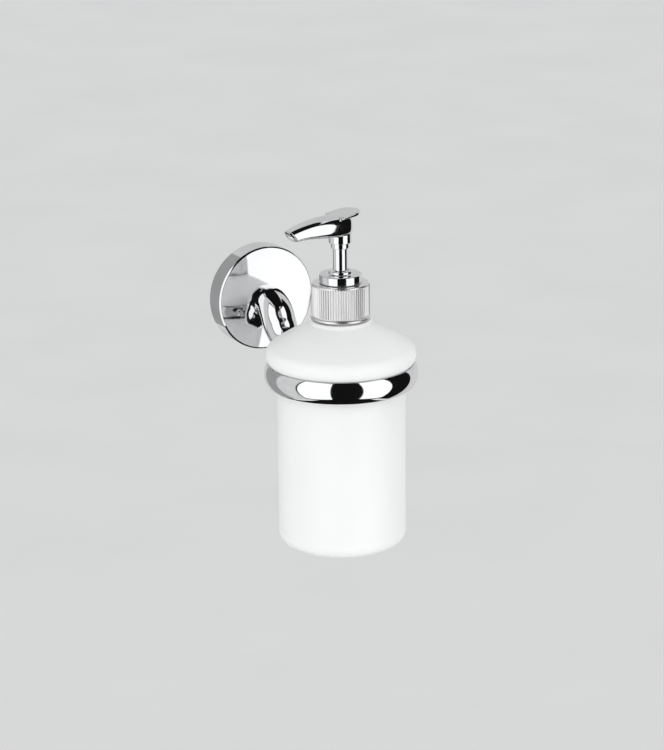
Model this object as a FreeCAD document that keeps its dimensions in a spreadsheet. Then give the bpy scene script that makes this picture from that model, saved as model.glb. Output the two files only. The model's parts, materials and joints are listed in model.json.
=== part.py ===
import FreeCAD, Part
import Sketcher
import math
import os
import re

os.makedirs("parts", exist_ok=True)
V = FreeCAD.Vector
doc = FreeCAD.newDocument("soap_dispenser")

# Frame: the wall is the plane y = 0 and the object stands out along -Y. The origin is the middle of the
# rosette's back, +Z is up. The bottle's upright axis is at x = 0, y = -reach.

SIZES = [
    # name, millimetres (or degrees / counts), meaning
    ("reach", 82.0, "wall to bottle axis"),
    ("ros_r", 24.9, "rosette outer radius"),
    ("ros_wall", 2.0, "rosette side wall"),
    ("ros_side", 9.6, "straight side of the rosette"),
    ("ros_dome", 12.4, "depth of the dome at the middle"),
    ("ros_dome_r", 150.0, "radius of the domed face"),
    ("ros_edge", 0.9, "rounding of the front edge"),
    ("ros_in_depth", 8.0, "depth of the rosette's hollow"),
    ("seat_y", 11.5, "depth of the arm's flat seat from the wall"),
    ("plate_r", 21.9, "wall plate radius"),
    ("plate_t", 5.4, "wall plate thickness"),
    ("plate_hole_r", 2.25, "wall screw hole radius"),
    ("plate_head_r", 4.3, "wall screw countersink radius"),
    ("plate_span", 28.0, "distance between the two wall screw holes"),
    ("plate_pocket_r", 6.4, "pocket for the arm screw's head"),
    ("plate_pocket_y", 2.0, "floor of that pocket"),
    ("grub_r", 2.0, "grub screw radius"),
    ("grub_y", 2.7, "grub screw distance from the wall"),
    ("grub_top", 21.2, "grub screw point, from the middle"),
    ("grub_end", 24.4, "grub screw outer end, from the middle"),
    ("screw_r", 2.5, "arm screw radius"),
    ("screw_len", 10.0, "arm screw length under the head"),
    ("screw_head_r", 4.25, "arm screw head radius"),
    ("screw_head_h", 2.8, "arm screw head height"),
    ("hex_af", 3.0, "hexagon key size, across flats"),
    ("grub_af", 2.0, "grub screw key size, across flats"),
    ("washer_r", 5.0, "arm washer radius"),
    ("washer_t", 0.5, "arm washer thickness"),
    ("spigot_r", 4.5, "arm spigot in the rosette"),
    ("fit", 0.04, "gap of parts that fit into each other"),
    # the arm's centre line and half thickness at seven stations: outward y, z, radius, slope
    ("arm_y1", 11.5, ""), ("arm_z1", -0.8, ""), ("arm_r1", 7.2, ""), ("arm_a1", 0.0, ""),
    ("arm_y2", 15.4, ""), ("arm_z2", -1.25, ""), ("arm_r2", 7.5, ""), ("arm_a2", 16.0, ""),
    ("arm_y3", 19.6, ""), ("arm_z3", -4.4, ""), ("arm_r3", 7.9, ""), ("arm_a3", 48.0, ""),
    ("arm_y4", 23.8, ""), ("arm_z4", -10.4, ""), ("arm_r4", 7.8, ""), ("arm_a4", 52.0, ""),
    ("arm_y5", 30.2, ""), ("arm_z5", -16.2, ""), ("arm_r5", 6.8, ""), ("arm_a5", 28.0, ""),
    ("arm_y6", 39.0, ""), ("arm_z6", -18.2, ""), ("arm_r6", 5.5, ""), ("arm_a6", 3.0, ""),
    ("arm_y7", 50.0, ""), ("arm_z7", -18.3, ""), ("arm_r7", 4.7, ""), ("arm_a7", 0.0, ""),
    ("ring_in", 30.4, "holder ring inner radius"),
    ("ring_edge", 33.4, "radius of the ring's top and bottom edges"),
    ("ring_bulge", 8.4, "radius of the rounded outer face"),
    ("ring_top", -13.2, "top of the ring"),
    ("ring_bot", -23.4, "bottom of the ring"),
    ("ring_seat", -16.1, "lower end of the sloping seat"),
    # glass bottle
    ("b_r", 29.4, "body radius"),
    ("b_bot", -99.6, "bottom of the bottle"),
    ("b_base_r", 23.0, "flat of the base"),
    ("b_corner", 6.5, "base corner radius"),
    ("b_corner_z", -93.1, "where the base corner ends"),
    ("b_push", 1.6, "hollow under the base"),
    ("b_wall", 2.6, "glass thickness"),
    ("sh_r", 34.1, "widest radius of the shoulder"),
    ("sh_z", -8.6, "height of the widest place"),
    ("sh_under_r", 30.2, "shoulder underside, inner radius"),
    ("sh_under_z", -15.95, "its height"),
    ("sh_low_r", 33.0, "shoulder underside, outer radius"),
    ("sh_low_z", -13.15, "its height"),
    ("sh_mid_r", 31.9, "shoulder, where the edge meets the dome"),
    ("sh_mid_z", -4.7, "its height"),
    ("sh_up_r", 14.0, "shoulder, upper radius"),
    ("sh_up_z", 5.4, "its height"),
    ("bead_z", 7.2, "top of the bead below the cap"),
    ("neck_r", 10.8, "neck radius at the thread root"),
    ("neck_bore", 8.2, "neck bore radius"),
    ("neck_top", 21.2, "top of the neck"),
    ("thr_pitch", 3.175, "thread pitch"),
    ("thr_h", 1.05, "thread height"),
    ("thr_w", 1.15, "thread width"),
    ("thr_turns", 1.5, "turns of thread"),
    ("thr_z", 11.5, "start of the neck's thread"),
    # closure
    ("cap_r", 13.05, "cap radius at the rib roots"),
    ("cap_rib", 0.32, "rib radius"),
    ("cap_ribs", 72, "number of ribs"),
    ("cap_lip", 13.75, "cap lip radius"),
    ("cap_bot", 8.2, "bottom of the cap"),
    ("cap_top", 24.5, "top of the cap"),
    ("cap_bore", 12.1, "cap inner radius"),
    ("cap_under", 23.3, "underside of the cap's top"),
    ("cap_hole", 7.6, "hole in the cap's top"),
    ("gasket_t", 0.8, "neck gasket thickness"),
    ("gasket_r", 11.0, "neck gasket radius"),
    # pump
    ("h_flange_r", 10.6, "housing flange radius"),
    ("h_out", 7.2, "housing outer radius"),
    ("h_in", 6.0, "housing bore radius"),
    ("h_top", 25.8, "top of the housing"),
    ("h_floor", -14.4, "floor of the pump chamber"),
    ("h_seat", -17.4, "ball seat"),
    ("tail_r", 3.6, "tail outer radius"),
    ("tail_bot", -29.0, "bottom of the tail"),
    ("col_r", 9.75, "collar radius"),
    ("col_bot", 24.75, "bottom of the collar"),
    ("col_top", 28.6, "top of the collar"),
    ("boss_r", 5.5, "small boss round the stem"),
    ("boss_top", 30.1, "top of the boss"),
    ("col_sleeve", 9.3, "lower end of the collar's sleeve"),
    ("seal_t", 1.6, "wiper ring height"),
    ("stem_r", 3.35, "stem radius"),
    ("stem_bore", 2.2, "stem bore radius"),
    ("stem_bot", 7.3, "lower end of the stem"),
    ("stem_top", 48.0, "upper end of the stem"),
    ("stem_stop", 18.3, "step that stops the outlet ball"),
    ("stem_thin", 1.6, "bore above the step"),
    ("gap", 0.07, "running gap of sliding parts"),
    ("rod_bot", 2.1, "lower end of the piston rod"),
    ("rod_top", 13.5, "outlet valve seat"),
    ("rod_bore", 1.1, "piston rod bore"),
    ("pis_bot", 2.7, "piston lower lip"),
    ("pis_top", 9.0, "piston upper lip"),
    ("out_ball_r", 1.75, "outlet ball radius"),
    ("in_ball_r", 2.4, "inlet ball radius"),
    ("spring_r", 4.6, "spring mean radius"),
    ("spring_wire", 0.4, "spring wire radius"),
    ("spring_turns", 6.0, "spring turns"),
    ("dip_r", 2.5, "dip tube radius"),
    ("dip_bore", 1.7, "dip tube bore"),
    ("dip_top", -20.2, "upper end of the dip tube"),
    ("dip_bot", -91.5, "lower end of the dip tube"),
    # head
    ("head_turn", 11.5, "how far the nozzle points away from the wall, degrees"),
    ("skirt_r", 5.2, "head skirt radius"),
    ("skirt_bot", 43.0, "bottom of the head skirt"),
    ("ins_r", 4.25, "insert radius"),
    ("ins_bot", 40.5, "bottom of the insert"),
    ("ins_top", 49.4, "top of the insert"),
    ("head_under", 45.9, "underside of the head"),
    ("pad_w", 6.3, "half width of the thumb pad"),
    ("pad_front", 3.6, "front crease of the pad"),
    ("pad_back", 10.2, "rear of the pad from the stem axis"),
    ("pad_low", 54.9, "underside of the pad at the rear"),
    ("pad_top", 57.45, "top of the pad"),
    ("duct_r", 1.6, "duct radius"),
    ("duct_z", 51.75, "duct height"),
    ("mouth_r", 1.5, "mouth radius"),
]
P = {n: v for n, v, _ in SIZES}

sheet = doc.addObject("Spreadsheet::Sheet", "Sheet")
for i, (n, v, why) in enumerate(SIZES, start=1):
    sheet.set("A%d" % i, n)
    sheet.set("B%d" % i, str(v))
    sheet.set("C%d" % i, why)
    sheet.setAlias("B%d" % i, n)
doc.recompute()


def terms(e):
    return re.findall(r"[+-]?[^+-]+", str(e).replace(" ", ""))


def number(e):
    """The value of a sum of products of sheet names and plain numbers."""
    total = 0.0
    for t in terms(e):
        sign = -1.0 if t[0] == "-" else 1.0
        v, op = 1.0, "*"
        for f in re.split(r"([*/])", t.lstrip("+-")):
            if f in "*/":
                op = f
                continue
            x = P[f] if f in P else float(f)
            v = v * x if op == "*" else v / x
        total += sign * v
    return total


def bound(e):
    return re.sub(r"[A-Za-z_][A-Za-z0-9_]*", lambda m: "Sheet." + m.group(0), str(e))


def place(obj, x="0", y="0", z="0", axis=None, angle="0"):
    turn = FreeCAD.Rotation(V(*axis), number(angle)) if axis else FreeCAD.Rotation()
    obj.Placement = FreeCAD.Placement(V(number(x), number(y), number(z)), turn)
    if re.search("[a-z]", str(angle)):
        obj.setExpression("Placement.Rotation.Angle", bound(angle))
    for k, e in zip("xyz", (x, y, z)):
        if re.search("[a-z]", str(e)):
            obj.setExpression("Placement.Base." + k, bound(e))
    return obj


def cyl(name, r, h, x="0", y="0", z="0", axis=None, angle="0"):
    o = doc.addObject("Part::Cylinder", name)
    for prop, e in (("Radius", r), ("Height", h)):
        setattr(o, prop, number(e))
        o.setExpression(prop, bound(e))
    return place(o, x, y, z, axis, angle)


def cone(name, r1, r2, h, x="0", y="0", z="0", axis=None, angle="0"):
    o = doc.addObject("Part::Cone", name)
    for prop, e in (("Radius1", r1), ("Radius2", r2), ("Height", h)):
        setattr(o, prop, number(e))
        o.setExpression(prop, bound(e))
    return place(o, x, y, z, axis, angle)


def ball(name, r, x="0", y="0", z="0"):
    o = doc.addObject("Part::Sphere", name)
    o.setExpression("Radius", bound(r))
    return place(o, x, y, z)


def prism(name, across, h, x="0", y="0", z="0", axis=None, angle="0"):
    o = doc.addObject("Part::Prism", name)
    o.Polygon = 6
    o.setExpression("Circumradius", bound(across) + " / 1.7320508")
    o.setExpression("Height", bound(h))
    return place(o, x, y, z, axis, angle)


def cut(name, base, *tools):
    o = doc.addObject("Part::Cut", name)
    o.Base = base
    if len(tools) == 1:
        o.Tool = tools[0]
    else:
        t = doc.addObject("Part::MultiFuse", name + "_tools")
        t.Shapes = list(tools)
        o.Tool = t
    return o


def fuse(name, *shapes):
    o = doc.addObject("Part::MultiFuse", name)
    o.Shapes = list(shapes)
    return o


def revolved(name, verts, arcs=None, x="0", y="0", z="0", axis=None, angle="0"):
    """A PartDesign body: the closed profile of (radius, height) points turned about the upright axis.
    arcs: {number of the edge's first point: (radius, side)}; side +1 bulges to the left of the edge."""
    arcs = arcs or {}
    body = doc.addObject("PartDesign::Body", name)
    sk = body.newObject("Sketcher::SketchObject", name + "_profile")
    plane = [f for f in body.Origin.OriginFeatures if f.Role == "XZ_Plane"][0]
    sk.AttachmentSupport = [(plane, "")]
    sk.MapMode = "FlatFace"
    pts = [V(number(a), number(b), 0) for a, b in verts]
    count, ends = len(pts), []
    for i in range(count):
        p, q = pts[i], pts[(i + 1) % count]
        if i in arcs:
            r, side = number(arcs[i][0]), arcs[i][1]
            half = (q - p).Length / 2
            sag = r - math.sqrt(max(r * r - half * half, 0.0))
            d = (q - p) / (2 * half)
            g = sk.addGeometry(Part.Arc(p, (p + q) / 2 + V(-d.y, d.x, 0) * (side * sag), q), False)
            near = (sk.getPoint(g, 1) - p).Length < 1e-6
            ends.append((g, 1, 2) if near else (g, 2, 1))
        else:
            ends.append((sk.addGeometry(Part.LineSegment(p, q), False), 1, 2))
    for i in range(count):
        g, h = ends[i], ends[(i + 1) % count]
        sk.addConstraint(Sketcher.Constraint("Coincident", g[0], g[2], h[0], h[1]))
    for i, (a, b) in enumerate(verts):
        g, start, _ = ends[i]
        for kind, e, zero_on in (("DistanceX", a, -2), ("DistanceY", b, -1)):
            if number(e) == 0:
                sk.addConstraint(Sketcher.Constraint("PointOnObject", g, start, zero_on))
                continue
            c = sk.addConstraint(Sketcher.Constraint(kind, -1, 1, g, start, number(e)))
            if re.search("[a-z]", str(e)):
                label = "%s%d" % (kind[-1].lower(), i)
                sk.renameConstraint(c, label)
                sk.setExpression("Constraints." + label, bound(e))
    for i, (r, _) in arcs.items():
        c = sk.addConstraint(Sketcher.Constraint("Radius", ends[i][0], number(r)))
        sk.renameConstraint(c, "r%d" % i)
        if re.search("[a-z]", str(r)):
            sk.setExpression("Constraints.r%d" % i, bound(r))
    turn = body.newObject("PartDesign::Revolution", name + "_turn")
    turn.Profile = sk
    turn.ReferenceAxis = (sk, ["V_Axis"])
    turn.Angle = 360.0
    sk.Visibility = False
    return place(body, x, y, z, axis, angle)


def read(name):
    return float(sheet.get(name))


def shaped(name, shape, y="0", z="0"):
    """A plain feature whose shape the code builds from the sheet's sizes."""
    o = doc.addObject("Part::Feature", name)
    o.Shape = shape
    return place(o, "0", y, z)


def ridge(radius, inner, outer, width, pitch, turns):
    """A helical ridge of trapezoid section, from z = 0 upwards, about the upright axis."""
    helix = Part.makeHelix(pitch, pitch * turns, radius)
    half, tip = width / 2, width / 4
    base, crest = (inner, outer) if abs(inner - radius) < abs(outer - radius) else (outer, inner)
    ring = [V(base, 0, -half), V(crest, 0, -tip), V(crest, 0, tip), V(base, 0, half)]
    return Part.Wire(helix).makePipeShell([Part.makePolygon(ring + ring[:1])], True, True)


nodes = []


def node(obj, label):
    obj.Label = label
    nodes.append(obj)
    return obj


OUT = (1, 0, 0)  # turning by 90 degrees about X points a body's own +Z away from the wall (-Y)

# ---- held on the wall ----------------------------------------------------------------------------
plate = revolved("plate_disc", [
    ("0", "0"), ("plate_r", "0"), ("plate_r", "grub_y - 1.8"), ("plate_r - 0.72", "grub_y - 1.2"),
    ("plate_r - 0.72", "grub_y + 1.2"), ("plate_r", "grub_y + 1.8"), ("plate_r", "plate_t - 0.5"),
    ("plate_r - 0.5", "plate_t"),
    ("plate_pocket_r", "plate_t"), ("plate_pocket_r", "plate_pocket_y"), ("0", "plate_pocket_y"),
], axis=OUT, angle="90")
holes = []
for k, side in enumerate(("plate_span/2", "-plate_span/2")):
    holes.append(cyl("plate_hole_%d" % k, "plate_hole_r", "plate_t + 2", side, "1", "0", OUT, "90"))
    holes.append(cone("plate_sink_%d" % k, "plate_hole_r", "plate_head_r", "2.1", side, "-plate_t + 2.05",
                      "0", OUT, "90"))
node(cut("wall_plate_cut", plate, *holes), "wall_plate")

shell = revolved("rosette_shell", [
    ("ros_r", "0"), ("ros_r", "ros_side"), ("ros_r - ros_edge", "ros_side + 0.8"),
    ("spigot_r + fit", "ros_dome"), ("spigot_r + fit", "ros_in_depth"),
    ("ros_r - ros_wall - 1", "ros_in_depth"),
    ("ros_r - ros_wall", "ros_in_depth - 1"), ("ros_r - ros_wall", "0"),
], arcs={1: ("1.2", -1), 2: ("ros_dome_r", -1), 5: ("1", -1)}, axis=OUT, angle="90")
seat = cyl("arm_seat", "arm_r1 + 0.15", "5", "0", "-seat_y", "arm_z1", OUT, "90")
grub_hole = cyl("grub_hole", "grub_r + fit", "6", "0", "-grub_y", "-ros_r - 1")
node(cut("rosette_cut", shell, grub_hole, seat), "rosette_cover")

grub_rod = cyl("grub_rod", "grub_r", "grub_end - grub_top - 1.1", "0", "-grub_y", "-grub_end")
grub_tip = cone("grub_tip", "grub_r", "0.9", "1.1", "0", "-grub_y", "-grub_top - 1.1")
grub_key = prism("grub_key", "grub_af", "1.6", "0", "-grub_y", "-grub_end - 0.1")
node(cut("grub_cut", fuse("grub_body", grub_rod, grub_tip), grub_key), "grub_screw")

node(revolved("washer_ring", [
    ("screw_r + 0.15", "ros_in_depth - washer_t - 0.02"), ("washer_r", "ros_in_depth - washer_t - 0.02"),
    ("washer_r", "ros_in_depth - 0.02"), ("screw_r + 0.15", "ros_in_depth - 0.02"),
], axis=OUT, angle="90"), "arm_washer")

head_y = "ros_in_depth - washer_t - 0.04"
screw = revolved("screw_turned", [
    ("0", head_y + " - screw_head_h"), ("screw_head_r - 0.4", head_y + " - screw_head_h"),
    ("screw_head_r", head_y + " - screw_head_h + 0.4"), ("screw_head_r", head_y), ("screw_r", head_y),
    ("screw_r", head_y + " + screw_len - 0.6"), ("screw_r - 0.6", head_y + " + screw_len"),
    ("0", head_y + " + screw_len"),
], axis=OUT, angle="90")
key = prism("screw_key", "hex_af", "1.8", "0", "-ros_in_depth + washer_t + screw_head_h + 0.1", "0", OUT, "90")
node(cut("screw_cut", screw, key), "arm_screw")

ring = revolved("ring_turned", [
    ("ring_in", "ring_bot + 1.2"), ("ring_in + 1.2", "ring_bot"), ("ring_edge", "ring_bot"),
    ("ring_edge", "ring_top"), ("ring_in", "ring_seat"),
], arcs={0: ("1.2", 1), 2: ("ring_bulge", -1)}, y="-reach")
node(ring, "holder_ring")

sections = []
for i in range(1, 8):
    c = doc.addObject("Part::Circle", "arm_section_%d" % i)
    c.setExpression("Radius", "Sheet.arm_r%d" % i)
    place(c, "0", "-arm_y%d" % i, "arm_z%d" % i, OUT, "90 + arm_a%d" % i)
    sections.append(c)
loft = doc.addObject("Part::Loft", "arm_loft")
loft.Sections = sections
loft.Solid = True
loft.Ruled = False
spigot = cyl("arm_spigot", "spigot_r", "seat_y - ros_in_depth - 0.1 + 1", "0", "-ros_in_depth - 0.1", "0", OUT, "90")
tapped = cyl("arm_tapped", "screw_r + fit", "screw_len + 2", "0", "-ros_in_depth + 1", "0", OUT, "90")
ring_room = revolved("arm_ring_room", [
    ("0", "ring_bot - 4"), ("ring_edge", "ring_bot - 4"), ("ring_edge", "ring_bot"),
    ("ring_edge", "ring_top"), ("ring_edge - 0.9", "ring_top + 4"), ("0", "ring_top + 4"),
], arcs={2: ("ring_bulge", -1)}, y="-reach")
node(cut("arm_cut", fuse("arm_body", loft, spigot), tapped, ring_room), "support_arm")

# ---- bottle --------------------------------------------------------------------------------------
glass = revolved("glass_turned", [
    ("0", "b_bot + b_push"), ("b_base_r - 5", "b_bot + b_push"), ("b_base_r - 2", "b_bot"),
    ("b_base_r", "b_bot"), ("b_r", "b_corner_z"), ("b_r", "sh_under_z - 2.4"),
    ("sh_under_r", "sh_under_z"), ("sh_low_r", "sh_low_z"), ("sh_r", "sh_z"), ("sh_mid_r", "sh_mid_z"),
    ("sh_up_r", "sh_up_z"), ("sh_up_r", "bead_z - 0.5"), ("sh_up_r - 0.5", "bead_z"),
    ("neck_r", "bead_z"), ("neck_r", "neck_top"), ("neck_bore", "neck_top"), ("neck_bore", "sh_up_z - 1.6"),
    ("sh_up_r - 1.4", "sh_up_z - 2.9"), ("sh_mid_r - 1.5", "sh_mid_z - 2.2"), ("sh_r - 2.6", "sh_z"),
    ("sh_under_r - 1.6", "sh_under_z + 0.7"), ("b_r - b_wall", "sh_under_z - 3.4"),
    ("b_r - b_wall", "b_corner_z + 0.5"), ("b_base_r - 1", "b_bot + b_push + b_wall + 1"),
    ("0", "b_bot + b_push + b_wall + 1"),
], arcs={3: ("b_corner", -1), 5: ("4.5", 1), 7: ("4.6", -1), 8: ("5.6", -1), 9: ("120", -1), 22: ("5.2", 1)},
    y="-reach")
thread_out = shaped("neck_thread", ridge(
    read("neck_r"), read("neck_r") - 0.15, read("neck_r") + read("thr_h"), read("thr_w"),
    read("thr_pitch"), read("thr_turns")), "-reach", "thr_z")
node(fuse("glass_fuse", glass, thread_out), "glass_bottle")

# ---- closure -------------------------------------------------------------------------------------
cap_cup = revolved("cap_cup", [
    ("cap_bore", "cap_bot"), ("cap_lip", "cap_bot"), ("cap_lip", "cap_bot + 0.9"),
    ("cap_r - 0.1", "cap_bot + 1.2"), ("cap_r - 0.1", "cap_top - 0.4"), ("cap_r - 0.5", "cap_top"),
    ("cap_hole", "cap_top"), ("cap_hole", "cap_under"), ("cap_bore", "cap_under"),
], y="-reach")


def ribbed_sleeve():
    r, rib, n = read("cap_r"), read("cap_rib"), int(read("cap_ribs"))
    low, high, bore = read("cap_bot") + 0.8, read("cap_top") - 0.45, read("cap_bore") + 0.3
    step, half = 2 * math.pi / n, 0.62 * math.pi / n

    def at(radius, angle):
        return V(radius * math.cos(angle), radius * math.sin(angle), low)
    edges = []
    for i in range(n):
        a = i * step
        edges.append(Part.Arc(at(r, a - half), at(r + rib, a), at(r, a + half)).toShape())
        edges.append(Part.Arc(at(r, a + half), at(r, a + step / 2), at(r, a + step - half)).toShape())
    drum = Part.Face(Part.Wire(edges)).extrude(V(0, 0, high - low))
    return drum.cut(Part.makeCylinder(bore, high - low + 2, V(0, 0, low - 1)))


ribs = shaped("cap_ribs_part", ribbed_sleeve(), "-reach")
thread_in = shaped("cap_thread", ridge(
    read("cap_bore"), read("cap_bore") - read("thr_h"), read("cap_bore") + 0.15, read("thr_w"),
    read("thr_pitch"), read("thr_turns")), "-reach", "thr_z + thr_pitch/2")
cap_shell = fuse("cap_shell", cap_cup, ribs)
cap_whole = fuse("cap_fuse", cap_shell, thread_in)
cap_shell.Refine = cap_whole.Refine = False
node(cap_whole, "screw_cap")

node(revolved("gasket_ring", [
    ("neck_bore + 0.1", "neck_top"), ("gasket_r", "neck_top"), ("gasket_r", "neck_top + gasket_t"),
    ("neck_bore + 0.1", "neck_top + gasket_t"),
], y="-reach"), "neck_gasket")

# ---- pump ----------------------------------------------------------------------------------------
flange_z = "neck_top + gasket_t"
node(revolved("housing_turned", [
    ("h_in", "h_top"), ("h_in", "h_floor"), ("4.0", "h_floor"), ("1.6", "h_seat"), ("1.6", "dip_top + 0.05"),
    ("dip_r + 0.02", "dip_top + 0.05"), ("dip_r + 0.02", "tail_bot"), ("tail_r", "tail_bot"),
    ("tail_r", "h_seat - 1.5"), ("h_out", "h_floor - 1.5"), ("h_out", flange_z), ("h_flange_r", flange_z),
    ("h_flange_r", flange_z + " + 1.1"), ("h_out", flange_z + " + 1.1"), ("h_out", "h_top"),
], y="-reach"), "pump_housing")

node(revolved("dip_ring", [
    ("dip_bore", "dip_bot"), ("dip_r", "dip_bot"), ("dip_r", "dip_top"), ("dip_bore", "dip_top"),
], y="-reach"), "dip_tube")

node(revolved("collar_turned", [
    ("h_in - gap", "col_sleeve"), ("h_in - gap", "h_top + 0.1"), ("h_out + gap", "h_top + 0.1"),
    ("h_out + gap", "col_bot"), ("col_r", "col_bot"), ("col_r", "col_top - 0.5"), ("col_r - 0.5", "col_top"),
    ("boss_r", "col_top"), ("boss_r", "boss_top - 0.4"), ("boss_r - 0.4", "boss_top"),
    ("stem_r + gap + 0.5", "boss_top"), ("stem_r + gap", "boss_top - 0.5"),
    ("stem_r + gap", "col_sleeve + seal_t + 0.3"), ("h_in - 0.8", "col_sleeve + seal_t + 0.3"),
    ("h_in - 0.8", "col_sleeve"),
], y="-reach"), "pump_collar")

node(revolved("seal_ring", [
    ("stem_r + 0.03", "col_sleeve + 0.2"), ("h_in - 0.84", "col_sleeve + 0.2"),
    ("h_in - 0.84", "col_sleeve + 0.2 + seal_t"), ("stem_r + 0.03", "col_sleeve + 0.2 + seal_t"),
], y="-reach"), "stem_seal")

node(ball("inlet_sphere", "in_ball_r", "0", "-reach", "h_seat + 1.88"), "inlet_ball")


def coil():
    wire, turns = read("spring_wire"), read("spring_turns")
    low, high = read("h_floor") + wire + 0.05, read("rod_bot") - wire - 0.05
    helix = Part.makeHelix((high - low) / turns, high - low, read("spring_r"))
    hoop = Part.Wire([Part.makeCircle(wire, V(read("spring_r"), 0, 0), V(0, 1, 0))])
    return Part.Wire(helix).makePipeShell([hoop], True, True)


node(shaped("spring_coil", coil(), "-reach", "h_floor + spring_wire + 0.05"), "return_spring")

# ---- plunger -------------------------------------------------------------------------------------
node(revolved("rod_turned", [
    ("rod_bore", "rod_bot"), ("h_in - 0.6", "rod_bot"), ("h_in - 0.6", "pis_bot - 0.05"),
    ("stem_bore - 0.05", "pis_bot - 0.05"), ("stem_bore - 0.05", "rod_top - 0.2"),
    ("stem_bore - 0.25", "rod_top"), ("rod_bore + 0.8", "rod_top"), ("rod_bore", "rod_top - 0.8"),
], y="-reach"), "piston_rod")

node(revolved("piston_turned", [
    ("stem_bore", "pis_bot"), ("h_in - gap", "pis_bot"), ("h_in - gap", "pis_bot + 0.9"),
    ("h_in - 0.8", "pis_bot + 1.6"), ("h_in - 0.8", "pis_top - 1.3"), ("h_in - gap", "pis_top - 0.6"),
    ("h_in - gap", "pis_top"), ("h_in - 1.2", "pis_top"), ("h_in - 1.9", "stem_bot - 0.05"),
    ("stem_bore", "stem_bot - 0.05"),
], y="-reach"), "piston")

node(ball("outlet_sphere", "out_ball_r", "0", "-reach", "rod_top + 0.62"), "outlet_ball")

# ---- head ----------------------------------------------------------------------------------------
node(revolved("stem_turned", [
    ("stem_bore", "stem_bot"), ("stem_r", "stem_bot"), ("stem_r", "stem_top"), ("stem_thin", "stem_top"),
    ("stem_thin", "stem_stop"), ("stem_bore", "stem_stop"),
], y="-reach"), "pump_stem")

node(revolved("insert_turned", [
    ("stem_r + 0.05", "ins_bot"), ("ins_r - 0.3", "ins_bot"), ("ins_r", "ins_bot + 0.3"), ("ins_r", "ins_top"),
    ("stem_thin", "ins_top"), ("stem_thin", "stem_top + 0.05"), ("stem_r + 0.05", "stem_top + 0.05"),
], y="-reach"), "head_insert")

# stations along the nozzle: distance from the stem axis, half width, underside, top
NOZZLE = [(-0.5, 5.4, 46.0, 56.2), (6.0, 6.0, 46.2, 56.4), (13.0, 5.8, 47.0, 56.2), (20.0, 5.2, 47.7, 55.5),
          (26.0, 4.4, 47.9, 54.3), (30.5, 3.6, 48.5, 53.1), (33.6, 3.1, 49.4, 52.0)]


def nozzle():
    wires = []
    for n, w, low, high in NOZZLE:
        mid, half, ring_pts = (low + high) / 2, (high - low) / 2, []
        for k in range(20):
            a = 2 * math.pi * (k + 0.5) / 20
            c, s = math.cos(a), math.sin(a)
            ring_pts.append(V(-n, w * math.copysign(abs(c) ** 0.72, c),
                              mid + half * math.copysign(abs(s) ** 0.72, s)))
        curve = Part.BSplineCurve()
        curve.interpolate(ring_pts, PeriodicFlag=True)
        wires.append(Part.Wire([curve.toShape()]))
    solid = Part.makeLoft(wires, True, False)
    face = Part.makeBox(30, 30, 30, V(-30, -15, -30))
    face.rotate(V(0, 0, 0), V(0, 1, 0), 58)
    face.translate(V(-26.6, 0, 47.6))
    return solid.cut(face)


def thumb_pad():
    w, front, back = read("pad_w"), read("pad_front"), read("pad_back")
    low, top = read("pad_low"), read("pad_top")
    c = back - w
    a, b = V(-front, -w, low - 3), V(-front, w, low - 3)
    rear = Part.Arc(V(c, w, low - 3), V(back, 0, low - 3), V(c, -w, low - 3)).toShape()
    edges = [Part.makeLine(a, b), Part.makeLine(b, V(c, w, low - 3)), rear, Part.makeLine(V(c, -w, low - 3), a)]
    slab = Part.Face(Part.Wire(edges)).extrude(V(0, 0, 9))
    above = Part.makeBox(60, 40, 20, V(-30, -20, 0))
    above.rotate(V(0, 0, 0), V(0, 1, 0), -5)
    above.translate(V(0, 0, top - 0.8))
    below = Part.makeBox(60, 40, 20, V(-30, -20, -20))
    below.rotate(V(0, 0, 0), V(0, 1, 0), -6)
    below.translate(V(0, 0, low - 0.6))
    return slab.cut(above).cut(below)


knob = revolved("head_knob", [
    ("0", "head_under"), ("5.5", "head_under"), ("5.5", "pad_low + 0.6"), ("4.9", "pad_low + 1.2"),
    ("0", "pad_low + 1.2"),
])
skirt = cyl("head_skirt", "skirt_r", "head_under - skirt_bot + 0.5", "0", "0", "skirt_bot")
nozzle_part = shaped("head_nozzle", nozzle())
pad_part = shaped("head_pad", thumb_pad())
socket = cyl("head_socket", "ins_r + 0.05", "ins_top + 0.05 - skirt_bot + 1", "0", "0", "skirt_bot - 1")
well = cyl("head_well", "duct_r", "duct_z - ins_top + 0.6", "0", "0", "ins_top - 0.1")
duct = cyl("head_duct", "mouth_r", "40", "0.8", "0", "duct_z", (0, 1, 0), "-92.2")
head = cut("head_cut", fuse("head_body", knob, skirt, nozzle_part, pad_part), socket, well, duct)
place(head, "0", "-reach", "0", (0, 0, 1), "head_turn")
node(head, "pump_head")

doc.recompute()

bad = []
for o in doc.Objects:
    if {"Invalid", "Error"} & set(o.State):
        bad.append("%s %s" % (o.Name, o.State))
for o in nodes:
    if o.Shape.isNull() or not o.Shape.isValid() or not o.Shape.Solids:
        bad.append("%s shape" % o.Label)
for o in nodes:
    b = o.Shape.optimalBoundingBox(False)
    print("%-14s solids %d vol %9.2f  x %7.2f %7.2f  y %8.2f %8.2f  z %7.2f %7.2f" % (
        o.Label, len(o.Shape.Solids), o.Shape.Volume, b.XMin, b.XMax, b.YMin, b.YMax, b.ZMin, b.ZMax))
if bad:
    raise SystemExit("faulty: " + "; ".join(bad))
for o in nodes:
    o.Shape.exportStep("parts/%s.step" % o.Label)
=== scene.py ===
import json
import math

import bmesh
import bpy
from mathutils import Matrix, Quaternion, Vector


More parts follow.
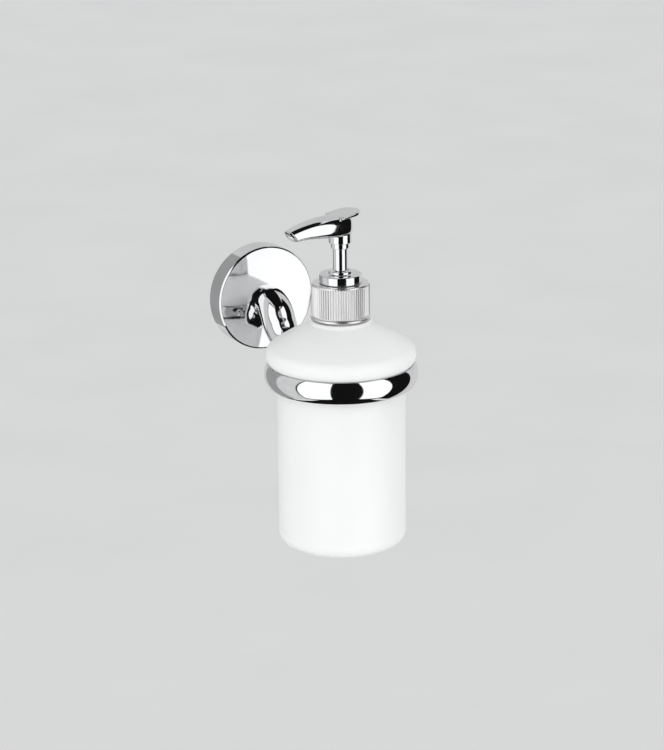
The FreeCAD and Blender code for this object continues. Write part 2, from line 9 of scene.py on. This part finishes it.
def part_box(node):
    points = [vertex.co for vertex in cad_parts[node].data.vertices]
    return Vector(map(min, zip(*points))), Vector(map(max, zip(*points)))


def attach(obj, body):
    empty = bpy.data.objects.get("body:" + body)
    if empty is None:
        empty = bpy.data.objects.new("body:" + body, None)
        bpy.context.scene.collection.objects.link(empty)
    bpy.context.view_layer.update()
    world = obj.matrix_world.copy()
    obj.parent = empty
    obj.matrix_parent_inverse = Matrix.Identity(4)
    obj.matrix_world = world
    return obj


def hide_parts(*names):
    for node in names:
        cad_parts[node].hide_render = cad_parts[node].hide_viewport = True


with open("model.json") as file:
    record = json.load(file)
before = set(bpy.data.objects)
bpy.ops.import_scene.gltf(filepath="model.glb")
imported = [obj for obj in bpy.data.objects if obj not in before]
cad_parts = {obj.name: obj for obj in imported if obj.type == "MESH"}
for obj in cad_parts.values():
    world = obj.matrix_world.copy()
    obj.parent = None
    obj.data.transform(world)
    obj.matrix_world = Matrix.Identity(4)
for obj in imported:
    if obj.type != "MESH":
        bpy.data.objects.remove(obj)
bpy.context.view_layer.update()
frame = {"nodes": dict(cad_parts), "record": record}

# Sizes are written in millimetres, in the frame's own axes, and turned into metres by MM.
MM = 0.001


# ---- sizes taken from the frame --------------------------------------------------------------------
def box_mm(node):
    low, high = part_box(node)
    return [c / MM for c in low], [c / MM for c in high]


def round_about_axis(node):
    """Outer radius, lowest and highest level of a node that is round about the bottle's upright axis."""
    low, high = box_mm(node)
    return (high[0] - low[0]) / 2, low[2], high[2]


STEM_LOW, STEM_HIGH = box_mm("pump_stem")
AXIS_Y = (STEM_LOW[1] + STEM_HIGH[1]) / 2
THREAD_PITCH, THREAD_LEVEL = 3.175, 11.5


# ---- mesh helpers ----------------------------------------------------------------------------------
def arc_between(p, q, sag, steps):
    """Points from p to q on a circular arc that bows out by sag to the right of the way from p to q."""
    p, q = Vector(p), Vector(q)
    half = (q - p).length / 2
    if abs(sag) < 1e-6:
        return [p, q]
    radius = (half * half + sag * sag) / (2 * abs(sag))
    along = (q - p).normalized()
    side = Vector((along.y, -along.x)) * (1 if sag > 0 else -1)
    centre = (p + q) / 2 - side * (radius - abs(sag))
    turn = math.asin(min(1.0, half / radius))
    return [centre + side * radius * math.cos(a) + along * radius * math.sin(a)
            for a in (turn * (2 * i / steps - 1) for i in range(steps + 1))]


def rounded(corners, steps=5):
    """An outline with its corners rounded. Each corner is (x, y, radius); radius 0 keeps it sharp."""
    out = []
    count = len(corners)
    for i, (x, y, radius) in enumerate(corners):
        here = Vector((x, y))
        if radius <= 0:
            out.append(here)
            continue
        before = Vector(corners[i - 1][:2]) - here
        after = Vector(corners[(i + 1) % count][:2]) - here
        angle = before.angle(after)
        if angle > math.pi - 0.02:
            out.append(here)
            continue
        reach = min(radius / math.tan(angle / 2), before.length * 0.48, after.length * 0.48)
        start = here + before.normalized() * reach
        end = here + after.normalized() * reach
        for k in range(steps + 1):
            t = k / steps
            out.append((1 - t) ** 2 * start + 2 * t * (1 - t) * here + t * t * end)
    return out


def mesh_object(name, bm, material, body, nodes=(), sharp=35):
    bmesh.ops.recalc_face_normals(bm, faces=bm.faces)
    mesh = bpy.data.meshes.new(name)
    bm.to_mesh(mesh)
    bm.free()
    for polygon in mesh.polygons:
        polygon.use_smooth = True
    obj = bpy.data.objects.new(name, mesh)
    bpy.context.scene.collection.objects.link(obj)
    mesh.materials.append(material)
    mesh.set_sharp_from_angle(angle=math.radians(sharp))
    normals = obj.modifiers.new("even normals", "WEIGHTED_NORMAL")
    normals.keep_sharp = True
    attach(obj, body)
    if nodes:
        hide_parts(*nodes)
    return obj


def lathe_bm(outline, columns=160, swell=None):
    """Turns a closed outline of (radius, level) about the upright axis.

    swell(i, column) adds to the radius of row i."""
    bm = bmesh.new()
    rows = []
    for i, p in enumerate(outline):
        if p[0] < 1e-4:
            rows.append([bm.verts.new((0, AXIS_Y * MM, p[1] * MM))])
            continue
        row = []
        for c in range(columns):
            a = 2 * math.pi * c / columns
            r = p[0] + (swell(i, c) if swell else 0)
            x, y = r * math.cos(a), AXIS_Y + r * math.sin(a)
            row.append(bm.verts.new((x * MM, y * MM, p[1] * MM)))
        rows.append(row)
    for lower, upper in zip(rows, rows[1:] + rows[:1]):
        if len(lower) == 1 and len(upper) == 1:
            continue
        for c in range(columns):
            d = (c + 1) % columns
            ring = [lower[c % len(lower)], lower[d % len(lower)],
                    upper[d % len(upper)], upper[c % len(upper)]]
            face = list(dict.fromkeys(ring))
            if len(face) > 2:
                bm.faces.new(face)
    return bm


def to_wall_axis(bm):
    """Turns a lathed mesh from the upright axis to the rosette's, its levels running out from the wall."""
    for v in bm.verts:
        x, y, z = v.co.x, v.co.y - AXIS_Y * MM, v.co.z
        v.co = Vector((x, -z, y))
    return bm


def tube_bm(loops):
    """Joins closed loops of points, in millimetres, into one skin closed at both ends."""
    bm = bmesh.new()
    rows = [[bm.verts.new(p * MM) for p in loop] for loop in loops]
    count = len(rows[0])
    for a, b in zip(rows, rows[1:]):
        for i in range(count):
            j = (i + 1) % count
            bm.faces.new((a[i], a[j], b[j], b[i]))
    bm.faces.new(rows[0][::-1])
    bm.faces.new(rows[-1])
    return bm


def smooth_value(stations, t):
    """Catmull-Rom interpolation of a list of equally spaced tuples; t runs from 0 to len - 1."""
    i = min(int(t), len(stations) - 2)
    f = t - i
    p = [stations[max(0, min(len(stations) - 1, i + k))] for k in (-1, 0, 1, 2)]
    return [0.5 * (2 * b + (c - a) * f + (2 * a - 5 * b + 4 * c - d) * f * f
                   + (3 * b - a - 3 * c + d) * f ** 3)
            for a, b, c, d in zip(*p)]


# ---- materials -------------------------------------------------------------------------------------
def new_material(name):
    material = bpy.data.materials.new(name)
    material.use_nodes = True
    nodes = material.node_tree.nodes
    return material, nodes, material.node_tree.links, nodes["Principled BSDF"]


def noise(nodes, links, scale, detail=3.0, stretch=(1, 1, 1)):
    place = nodes.new("ShaderNodeTexCoord")
    size = nodes.new("ShaderNodeMapping")
    size.inputs["Scale"].default_value = stretch
    grain = nodes.new("ShaderNodeTexNoise")
    grain.inputs["Scale"].default_value = scale
    grain.inputs["Detail"].default_value = detail
    links.new(place.outputs["Object"], size.inputs["Vector"])
    links.new(size.outputs["Vector"], grain.inputs["Vector"])
    return grain


def spread(nodes, links, source, low, high):
    """A number that varies between low and high with a noise."""
    ramp = nodes.new("ShaderNodeMapRange")
    ramp.inputs["From Min"].default_value = 0.3
    ramp.inputs["From Max"].default_value = 0.7
    ramp.inputs["To Min"].default_value = low
    ramp.inputs["To Max"].default_value = high
    links.new(source.outputs["Fac"], ramp.inputs["Value"])
    return ramp.outputs["Result"]


def tint(nodes, links, source, dark, light):
    ramp = nodes.new("ShaderNodeValToRGB")
    ramp.color_ramp.elements[0].position = 0.35
    ramp.color_ramp.elements[1].position = 0.65
    ramp.color_ramp.elements[0].color = (*dark, 1)
    ramp.color_ramp.elements[1].color = (*light, 1)
    links.new(source.outputs["Fac"], ramp.inputs["Fac"])
    return ramp.outputs["Color"]


def bump(nodes, links, source, shader, depth, strength=1.0):
    b = nodes.new("ShaderNodeBump")
    b.inputs["Strength"].default_value = strength
    b.inputs["Distance"].default_value = depth
    links.new(source.outputs["Fac"], b.inputs["Height"])
    links.new(b.outputs["Normal"], shader.inputs["Normal"])


def chrome(name, dark, light, rough_low, rough_high, depth):
    """Plated metal: faint cloudiness in tint and polish, and a very shallow unevenness of the surface."""
    material, nodes, links, shader = new_material(name)
    shader.inputs["Metallic"].default_value = 1.0
    broad = noise(nodes, links, 60, 4)
    links.new(tint(nodes, links, broad, dark, light), shader.inputs["Base Color"])
    fine = noise(nodes, links, 240, 5)
    links.new(spread(nodes, links, fine, rough_low, rough_high), shader.inputs["Roughness"])
    bump(nodes, links, noise(nodes, links, 45, 1), shader, depth)
    return material


def satin_glass(name):
    """Acid-etched white glass: light soaks in a little, and the skin has a very fine even tooth."""
    material, nodes, links, shader = new_material(name)
    cloud = noise(nodes, links, 18, 2)
    white = tint(nodes, links, cloud, (0.755, 0.757, 0.758), (0.780, 0.782, 0.782))
    links.new(white, shader.inputs["Base Color"])
    fine = noise(nodes, links, 320, 4)
    links.new(spread(nodes, links, fine, 0.36, 0.46), shader.inputs["Roughness"])
    shader.inputs["IOR"].default_value = 1.5
    shader.inputs["Subsurface Weight"].default_value = 0.35
    shader.inputs["Subsurface Radius"].default_value = (1.0, 1.0, 1.0)
    shader.inputs["Subsurface Scale"].default_value = 0.004
    bump(nodes, links, noise(nodes, links, 2600, 2), shader, 0.00002, 0.5)
    return material


def plain_metal(name, dark, light, rough_low, rough_high, scale, depth):
    material, nodes, links, shader = new_material(name)
    shader.inputs["Metallic"].default_value = 1.0
    grain = noise(nodes, links, scale, 6)
    links.new(tint(nodes, links, grain, dark, light), shader.inputs["Base Color"])
    links.new(spread(nodes, links, grain, rough_low, rough_high), shader.inputs["Roughness"])
    bump(nodes, links, noise(nodes, links, scale * 2, 4), shader, depth)
    return material


def plastic(name, dark, light, rough_low, rough_high, soak=0.0):
    material, nodes, links, shader = new_material(name)
    grain = noise(nodes, links, 150, 4)
    links.new(tint(nodes, links, grain, dark, light), shader.inputs["Base Color"])
    links.new(spread(nodes, links, grain, rough_low, rough_high), shader.inputs["Roughness"])
    shader.inputs["Subsurface Weight"].default_value = soak
    shader.inputs["Subsurface Scale"].default_value = 0.002
    bump(nodes, links, noise(nodes, links, 900, 3), shader, 0.00002, 0.4)
    return material


def grey(level):
    return (level, level, level)


CHROME_DARK, CHROME_LIGHT = (0.84, 0.85, 0.86), (0.90, 0.905, 0.91)
MATERIALS = {
    "chrome_bracket": chrome("bracket chrome", CHROME_DARK, CHROME_LIGHT, 0.035, 0.075, 0.00002),
    "chrome_pump": chrome("pump chrome", CHROME_DARK, CHROME_LIGHT, 0.04, 0.09, 0.00002),
    "chrome_cap": chrome("cap chrome", grey(0.93), grey(0.97), 0.28, 0.34, 0.000001),
    "frosted_glass": satin_glass("satin white glass"),
    "plate_zinc": plain_metal("cast zinc", (0.42, 0.43, 0.44), (0.58, 0.59, 0.60),
                              0.38, 0.58, 300, 0.00006),
    "screw_steel": plain_metal("screw steel", grey(0.50), (0.63, 0.63, 0.62),
                               0.22, 0.40, 420, 0.00003),
    "ball_steel": plain_metal("bright steel", grey(0.58), grey(0.70), 0.10, 0.22, 300, 0.00001),
    "clear_plastic": plastic("natural plastic", (0.80, 0.82, 0.82), (0.88, 0.89, 0.88), 0.30, 0.42, 0.3),
    "white_plastic": plastic("white plastic", (0.84, 0.84, 0.82), (0.90, 0.90, 0.88), 0.35, 0.48, 0.1),
    "seal_plastic": plastic("soft plastic", (0.78, 0.79, 0.78), (0.86, 0.87, 0.86), 0.40, 0.55, 0.2),
    "gasket_foam": plastic("foam gasket", (0.76, 0.76, 0.74), (0.88, 0.88, 0.86), 0.65, 0.85),
}
for part in frame["record"]["subparts"]:
    node = frame["nodes"][part["node"]]
    node.data.materials.clear()
    node.data.materials.append(MATERIALS[part["material_slot"]])


def piece(name, bm, slot_name, body, nodes=(), sharp=35):
    return mesh_object(name, bm, MATERIALS[slot_name], body, nodes, sharp)


# ---- wall side -------------------------------------------------------------------------------------
def make_rosette():
    high = box_mm("rosette_cover")[1]
    radius, wall, hollow = high[0], 2.0, 8.0
    side, dome_start, dome_radius, dome_steps = 9.7, 10.4, 150.0, 24
    rim_r = radius - 0.9
    centre = dome_start - math.sqrt(dome_radius ** 2 - rim_r ** 2)
    dome = [(r, centre + math.sqrt(dome_radius ** 2 - r * r), 0)
            for r in (rim_r * (1 - k / dome_steps) for k in range(dome_steps + 1))]
    corners = [(radius - wall, 0, 0.2), (radius, 0, 0.25), (radius, side, 0.6),
               (rim_r + 0.15, 10.38, 0.5)]
    corners += dome[1:]
    corners += [(0, hollow, 0), (radius - wall - 1, hollow, 0.6), (radius - wall, hollow - 1, 0.6)]
    bm = to_wall_axis(lathe_bm(rounded(corners), 224))
    cover = piece("rosette", bm, "chrome_bracket", "bracket", ["rosette_cover"], 28)
    grub_low, grub_high = box_mm("grub_screw")
    bore_r = 2.06 * MM
    bore = bmesh.new()
    bmesh.ops.create_cone(bore, cap_ends=True, segments=48, radius1=bore_r, radius2=bore_r, depth=5 * MM)
    for v in bore.verts:
        v.co += Vector((0, (grub_low[1] + grub_high[1]) / 2, -radius + 1)) * MM
    drill_mesh = bpy.data.meshes.new("drill")
    bore.to_mesh(drill_mesh)
    bore.free()
    drill = bpy.data.objects.new("drill", drill_mesh)
    bpy.context.scene.collection.objects.link(drill)
    apply_cut(cover, drill)


def apply_cut(obj, drill):
    """Takes the drill's shape out of obj and removes the drill."""
    cutter = obj.modifiers.new("cut", "BOOLEAN")
    cutter.operation = "DIFFERENCE"
    cutter.solver = "EXACT"
    cutter.object = drill
    bpy.context.view_layer.objects.active = obj
    obj.modifiers.move(len(obj.modifiers) - 1, 0)
    bpy.ops.object.modifier_apply(modifier="cut")
    bpy.data.objects.remove(drill)


# centre line of the arm: distance out from the wall, level, half thickness, slope in degrees
ARM = [(11.5, -0.8, 7.2, 0), (15.4, -1.25, 7.5, 16), (19.6, -4.4, 7.9, 48), (23.8, -10.4, 7.8, 52),
       (30.2, -16.2, 6.8, 28), (39.0, -18.2, 5.5, 3), (49.6, -18.3, 4.7, 0)]


def make_arm():
    loops, around, steps = [], 72, 72
    for k in range(steps + 1):
        out, level, radius, slope = smooth_value(ARM, k / steps * (len(ARM) - 1))
        s = math.radians(slope)
        up = Vector((0, -math.sin(s), math.cos(s)))
        loops.append([Vector((radius * math.cos(a), -out, level)) + up * (radius * math.sin(a))
                      for a in (2 * math.pi * i / around for i in range(around))])
    piece("arm", tube_bm(loops), "chrome_bracket", "bracket", ["support_arm"])


def make_ring():
    radius, bottom, top = round_about_axis("holder_ring")
    inner, edge, seat = radius - 4.73, radius - 1.73, top - 2.9
    face = arc_between((edge, bottom), (edge, top), radius - edge, 28)
    corners = [(inner, seat, 0.3), (inner, bottom + 1.2, 0.8), (inner + 1.2, bottom, 0.5)]
    corners += [(edge, bottom, 0.35)] + [(p[0], p[1], 0) for p in face[1:-1]] + [(edge, top, 0.35)]
    piece("ring", lathe_bm(rounded(corners), 256), "chrome_bracket", "bracket", ["holder_ring"], 40)


# ---- bottle ----------------------------------------------------------------------------------------
def make_bottle():
    radius, bottom, neck_top = round_about_axis("glass_bottle")
    body_r, wall, base_r = 29.4, 2.6, 23.0
    widest, under = -8.6, -15.95
    neck_r, bore = 10.8, 8.2
    outer = [(0, bottom + 1.6, 0), (base_r - 6, bottom + 1.6, 2.0), (base_r - 2.5, bottom, 0.8)]
    outer += [(p[0], p[1], 0) for p in arc_between((base_r, bottom), (body_r, bottom + 6.5), 1.9, 12)]
    outer += [(body_r, under - 2.4, 1.2), (30.2, under, 0.5), (33.0, -13.15, 0.6)]
    outer += [(p[0], p[1], 0) for p in arc_between((33.0, -13.15), (radius, widest), 0.5, 8)[1:]]
    outer += [(p[0], p[1], 0) for p in arc_between((radius, widest), (31.9, -4.7), 0.56, 10)[1:]]
    outer += [(p[0], p[1], 0) for p in arc_between((31.9, -4.7), (14.0, 5.4), 0.47, 18)[1:]]
    outer += [(14.0, 6.9, 0.3), (13.5, 7.2, 0.3), (neck_r, 7.2, 0.5), (neck_r, neck_top, 0.5)]
    inner = [(bore, neck_top, 0.4), (bore, 3.8, 1.5), (12.6, 2.5, 2.0), (30.4, -6.9, 2.0),
             (31.5, widest, 1.0), (28.6, under + 0.7, 1.0), (body_r - wall, under - 3.4, 2.0),
             (body_r - wall, bottom + 7.0, 3.0), (base_r - 1, bottom + 5.2, 2.0), (0, bottom + 5.2, 0)]
    piece("bottle", lathe_bm(rounded(outer + inner), 224), "frosted_glass", "bottle", ["glass_bottle"], 60)
    make_thread("neck_thread", neck_r - 0.15, neck_r + 1.05, THREAD_LEVEL, "frosted_glass", "bottle")


def make_thread(name, base, crest, level, slot_name, body):
    """One and a half turns of a rounded helical ridge about the upright axis."""
    turns, half = 1.5, 0.57
    loops, steps = [], 150
    for k in range(steps + 1):
        a = 2 * math.pi * turns * k / steps
        fade = min(1.0, k / 8, (steps - k) / 8)
        top = base + (crest - base) * max(0.05, fade)
        flank = (base + 2 * top) / 3
        z = level + THREAD_PITCH * a / (2 * math.pi)
        section = [(base, -half), (flank, -half * 0.7), (top, -half * 0.3),
                   (top, half * 0.3), (flank, half * 0.7), (base, half)]
        loops.append([Vector((r * math.cos(a), AXIS_Y + r * math.sin(a), z + dz)) for r, dz in section])
    piece(name, tube_bm(loops), slot_name, body)


# ---- closure ---------------------------------------------------------------------------------------
RIBS, RIB_HEIGHT, RIB_COLUMNS = 72, 0.30, 8


def make_cap():
    lip_r, bottom, top = round_about_axis("screw_cap")
    root, bore, under, hole = lip_r - 0.72, 12.1, top - 1.2, 7.6
    corners = [(bore, bottom, 0.2), (lip_r, bottom, 0.3), (lip_r, bottom + 0.95, 0.3),
               (root, bottom + 1.35, 0.1), (root, bottom + 1.7, 0), (root, top - 1.1, 0),
               (root, top - 0.75, 0), (root - 0.35, top, 0.5), (hole, top, 0.2),
               (hole, under, 0.2), (bore, under, 0.3)]
    outline = rounded(corners)
    ribbed = [abs(p[0] - root) < 0.02 and bottom + 1.6 < p[1] < top - 1.0 for p in outline]

    def swell(i, c):
        if not ribbed[i]:
            return 0.0
        wave = math.cos(2 * math.pi * c / RIB_COLUMNS)
        return RIB_HEIGHT * max(0.0, 0.25 + 0.75 * wave)
    bm = lathe_bm(outline, RIBS * RIB_COLUMNS, swell)
    piece("cap", bm, "chrome_cap", "cap", ["screw_cap"], 50)
    level = THREAD_LEVEL + THREAD_PITCH / 2
    make_thread("cap_thread", bore + 0.1, bore - 1.05, level, "chrome_cap", "cap")


def make_collar():
    radius, bottom, top = round_about_axis("pump_collar")
    shelf, boss, bore, sleeve = top - 1.5, 5.5, 3.42, 5.93
    collar_bottom, step_r, step_top = 24.75, 7.27, 25.9
    corners = [(bore, bottom + 1.9, 0), (sleeve - 0.8, bottom + 1.9, 0), (sleeve - 0.8, bottom, 0),
               (sleeve, bottom, 0), (sleeve, step_top, 0), (step_r, step_top, 0),
               (step_r, collar_bottom, 0), (radius, collar_bottom, 0.25), (radius, shelf, 0.8),
               (boss + 0.6, shelf, 0.3), (boss, shelf + 0.35, 0.3), (boss, top, 0.6),
               (bore + 0.9, top, 0.4), (bore, top - 1.0, 0.3)]
    piece("collar", lathe_bm(rounded(corners), 160), "chrome_pump", "pump", ["pump_collar"])


def make_stem():
    radius, bottom, top = round_about_axis("pump_stem")
    bore, foot_bore, foot_top = 1.6, 2.2, 18.3
    corners = [(foot_bore, bottom, 0.1), (radius, bottom, 0.2), (radius, top, 0.2), (bore, top, 0.1),
               (bore, foot_top, 0), (foot_bore, foot_top, 0)]
    piece("stem", lathe_bm(rounded(corners), 128), "chrome_pump", "head", ["pump_stem"])


def make_insert():
    radius, bottom, top = round_about_axis("head_insert")
    bore, socket, socket_top = 1.6, 3.4, 48.05
    corners = [(socket, bottom, 0.15), (radius, bottom, 0.35), (radius, top, 0.2), (bore, top, 0.1),
               (bore, socket_top, 0), (socket, socket_top, 0)]
    piece("insert", lathe_bm(rounded(corners), 128), "chrome_pump", "head", ["head_insert"])


# ---- head ------------------------------------------------------------------------------------------
HEAD_TURN = math.radians(11.5)
HEAD_UNDER, SKIRT_BOTTOM, SKIRT_R = 45.9, 43.0, 5.2
# sections along the nozzle: distance from the stem's axis, half width, underside, top, lean in degrees
NOZZLE = [(-5.45, 0.9, 47.6, 54.8, 0), (-5.0, 2.6, 46.5, 55.6, 0), (-3.8, 4.3, 46.0, 55.9, 0),
          (-1.5, 5.4, 45.9, 56.1, 0), (3.0, 5.9, 46.0, 56.3, 0), (9.0, 5.95, 46.5, 56.35, 0),
          (15.0, 5.6, 47.3, 56.0, 2), (20.5, 5.05, 47.8, 55.3, 8), (25.0, 4.5, 47.9, 54.4, 18),
          (28.6, 3.9, 47.6, 53.4, 32)]
DUCT_R = 1.5


def head_point(along, across, level):
    """A point of the head: along the nozzle, across it (positive towards the wall) and up."""
    x, y = -along, across
    c, s = math.cos(HEAD_TURN), math.sin(HEAD_TURN)
    return Vector((x * c - y * s, AXIS_Y + x * s + y * c, level))


def nozzle_loop(t, around=56):
    along, half, low, top, lean = smooth_value(NOZZLE, t)
    mid, tall, tip = (low + top) / 2, (top - low) / 2, math.radians(lean)
    loop = []
    for i in range(around):
        a = 2 * math.pi * i / around
        c, s = math.cos(a), math.sin(a)
        power = 0.74 if s > 0 else 0.66
        across = half * math.copysign(abs(c) ** 0.74, c)
        up = tall * math.copysign(abs(s) ** power, s)
        loop.append(head_point(along + up * math.sin(tip), across, mid + up * math.cos(tip)))
    return loop


def make_head():
    last = len(NOZZLE) - 1
    steps = 84
    loops = [nozzle_loop(k / steps * last) for k in range(steps + 1)]
    along, half, low, top, lean = NOZZLE[-1]
    centre = head_point(along, 0, (low + top) / 2)
    inward = (head_point(along - 1, 0, 0) - head_point(along, 0, 0)).normalized()
    across = (head_point(0, 1, 0) - head_point(0, 0, 0)).normalized()
    lean = math.radians(lean)
    face_up = Vector((0, 0, 1)) * math.cos(lean) - inward * math.sin(lean)
    around = len(loops[0])

    def mouth(radius, depth):
        shift = (inward * math.cos(lean) + Vector((0, 0, 1)) * math.sin(lean)) * depth
        ring = []
        for i in range(around):
            a = 2 * math.pi * i / around
            ring.append(centre + shift + across * radius * math.cos(a)
                        + face_up * radius * math.sin(a))
        return ring
    for share in (0.93, 0.80):
        loops.append([centre + (p - centre) * share + inward * (0.15 if share < 0.9 else 0.0)
                      for p in nozzle_loop(last)])
    duct = ((DUCT_R + 0.35, 0.25), (DUCT_R + 0.05, 0.45), (DUCT_R, 0.9), (DUCT_R, 3.0))
    for radius, depth in duct:
        loops.append(mouth(radius, depth))
    piece("nozzle", tube_bm(loops), "chrome_pump", "head", ["pump_head"], 50)
    make_pad()
    inner_r, skirt_top = 4.3, HEAD_UNDER + 1.2
    skirt = [(inner_r, SKIRT_BOTTOM, 0.1), (SKIRT_R, SKIRT_BOTTOM, 0.35), (SKIRT_R, skirt_top, 0),
             (inner_r, skirt_top, 0)]
    piece("skirt", lathe_bm(rounded(skirt), 128), "chrome_pump", "head")


def make_pad():
    """The thumb pad: a thin plate with a straight front and a round back, dished a little and tilted up."""
    half, front, back = 6.3, 3.6, 10.2
    centre = back - half
    plan = [(-front, -half)]
    plan += [(centre + half * math.cos(a), half * math.sin(a))
             for a in (math.pi * (k / 30 - 0.5) for k in range(31))]
    plan += [(-front, half)]
    corners = [(x, y, 0.9 if x == -front else 0) for x, y in plan]
    outline = rounded(corners)

    def top_at(x, share):
        return 56.0 + 0.095 * (x + front) - 0.15 * (1 - share ** 2)

    def under_at(x):
        return 54.75 + 0.10 * max(0.0, x)
    middle = Vector((1.8, 0))
    rows = [("under", 0.5), ("under", 0.90), ("under", 0.97), ("edge", 1.0), ("rim", 1.0),
            ("top", 0.975), ("top", 0.92), ("top", 0.75), ("top", 0.5), ("top", 0.25)]
    loops = []
    for kind, share in rows:
        loop = []
        for p in outline:
            q = middle + (p - middle) * share
            low, high = under_at(q.x), top_at(q.x, share)
            level = {"under": low + (0.12 if share > 0.95 else 0.0), "edge": low + 0.45,
                     "rim": high - 0.35, "top": high - (0.08 if share > 0.95 else 0.0)}[kind]
            loop.append(head_point(-q.x, q.y, level))
        loops.append(loop)
    piece("thumb_pad", tube_bm(loops), "chrome_pump", "head", sharp=60)


make_rosette()
make_arm()
make_ring()
make_bottle()
make_cap()
make_collar()
make_stem()
make_insert()
make_head()


# ---- floor, light and camera -----------------------------------------------------------------------
FLOOR_LEVEL, FLOOR_HALF = -1.62, 16.0
CENTRE = Vector((0, AXIS_Y * MM, 0))


def studio_object(name, data, azimuth, elevation, distance):
    """Hangs a lamp or a card in the studio, turned to face the middle of the object."""
    a, e = math.radians(azimuth), math.radians(elevation)
    away = Vector((math.sin(a) * math.cos(e), -math.cos(a) * math.cos(e), math.sin(e)))
    obj = bpy.data.objects.new(name, data)
    bpy.context.scene.collection.objects.link(obj)
    obj.location = CENTRE + away * distance
    obj.rotation_mode = "QUATERNION"
    obj.rotation_quaternion = away.to_track_quat("Z", "Y")
    obj.visible_camera = False
    return obj


def softbox(name, azimuths, elevations, distance, brightness):
    """A lamp panel that fills the stated span of directions, in degrees, with an even brightness."""
    wide, tall = (2 * distance * math.tan(math.radians((b - a) / 2))
                  for a, b in (azimuths, elevations))
    light = bpy.data.lights.new(name, "AREA")
    light.shape = "RECTANGLE"
    light.size, light.size_y = wide, tall
    light.energy = brightness * math.pi * wide * tall
    studio_object(name, light, sum(azimuths) / 2, sum(elevations) / 2, distance)


def card(name, azimuths, elevations, distance, glow):
    """A studio card of even brightness that only reflections see."""
    wide, tall = (distance * math.tan(math.radians((b - a) / 2))
                  for a, b in (azimuths, elevations))
    bm = bmesh.new()
    corners = [bm.verts.new((x * wide, y * tall, 0)) for x, y in ((-1, -1), (1, -1), (1, 1), (-1, 1))]
    bm.faces.new(corners)
    mesh = bpy.data.meshes.new(name)
    bm.to_mesh(mesh)
    bm.free()
    material, nodes, links, shader = new_material(name)
    shader.inputs["Base Color"].default_value = (0, 0, 0, 1)
    shader.inputs["Specular IOR Level"].default_value = 0.0
    weave = noise(nodes, links, 2, 2)
    cloth = tint(nodes, links, weave, grey(glow), (glow * 1.08, glow * 1.08, glow * 1.09))
    links.new(cloth, shader.inputs["Emission Color"])
    shader.inputs["Emission Strength"].default_value = 1.0
    mesh.materials.append(material)
    obj = studio_object(name, mesh, sum(azimuths) / 2, sum(elevations) / 2, distance)
    obj.visible_diffuse = obj.visible_shadow = obj.visible_transmission = False


def make_floor():
    bm = bmesh.new()
    bmesh.ops.create_grid(bm, x_segments=1, y_segments=1, size=FLOOR_HALF)
    mesh = bpy.data.meshes.new("floor")
    bm.to_mesh(mesh)
    bm.free()
    floor = bpy.data.objects.new("floor", mesh)
    bpy.context.scene.collection.objects.link(floor)
    floor.location = (0, 0, FLOOR_LEVEL)
    material, nodes, links, shader = new_material("pale floor")
    mottle = noise(nodes, links, 3, 2)
    links.new(tint(nodes, links, mottle, grey(0.82), (0.84, 0.84, 0.835)), shader.inputs["Base Color"])
    shader.inputs["Roughness"].default_value = 0.9
    shader.inputs["Specular IOR Level"].default_value = 0.2
    mesh.materials.append(material)


BLACK, MID, PALE = 0.006, 0.32, 0.62
make_floor()
softbox("right softbox", (3, 50), (-50, 50), 1.10, 1.15)
softbox("left softbox", (-96, -45), (-50, 50), 1.10, 1.15)
card("right softbox frame", (1, 52), (-54, 54), 1.12, BLACK)
card("left softbox frame", (-101, -43), (-54, 54), 1.12, BLACK)
card("front card", (-46, 4), (-56, 56), 1.13, BLACK)
card("right card", (49, 94), (-56, 56), 1.13, BLACK)
card("overhead card", (-21, 39), (56, 130), 1.30, BLACK)
card("underside card", (-51, 9), (-130, -52), 1.30, BLACK)
card("left pale card", (-139, -99), (-56, 56), 1.16, PALE)
card("left grey card", (-178, -137), (-62, 66), 1.18, MID)
card("right pale card", (92, 130), (-56, 56), 1.16, PALE)
card("rear card", (125, 182), (-40, 66), 1.22, PALE * 0.92)

world = bpy.data.worlds.new("studio")
bpy.context.scene.world = world
world.use_nodes = True
world.node_tree.nodes["Background"].inputs["Color"].default_value = (0.80, 0.805, 0.81, 1)
world.node_tree.nodes["Background"].inputs["Strength"].default_value = 1.0

camera_data = bpy.data.cameras.new("camera")
camera_data.sensor_width = 36.0
camera_data.lens = 152.94
camera_data.clip_start, camera_data.clip_end = 0.05, 60.0
camera = bpy.data.objects.new("camera", camera_data)
bpy.context.scene.collection.objects.link(camera)
camera.location = (-0.6802, -1.2970, 0.4022)
heading, pitch, roll = math.radians(29.07), math.radians(16.85), math.radians(-0.55)
look = Vector((math.sin(heading) * math.cos(pitch), math.cos(heading) * math.cos(pitch),
               -math.sin(pitch)))
camera.rotation_mode = "QUATERNION"
camera.rotation_quaternion = look.to_track_quat("-Z", "Y") @ Quaternion((0, 0, 1), roll)
bpy.context.scene.camera = camera
bpy.context.scene.view_settings.view_transform = "Standard"
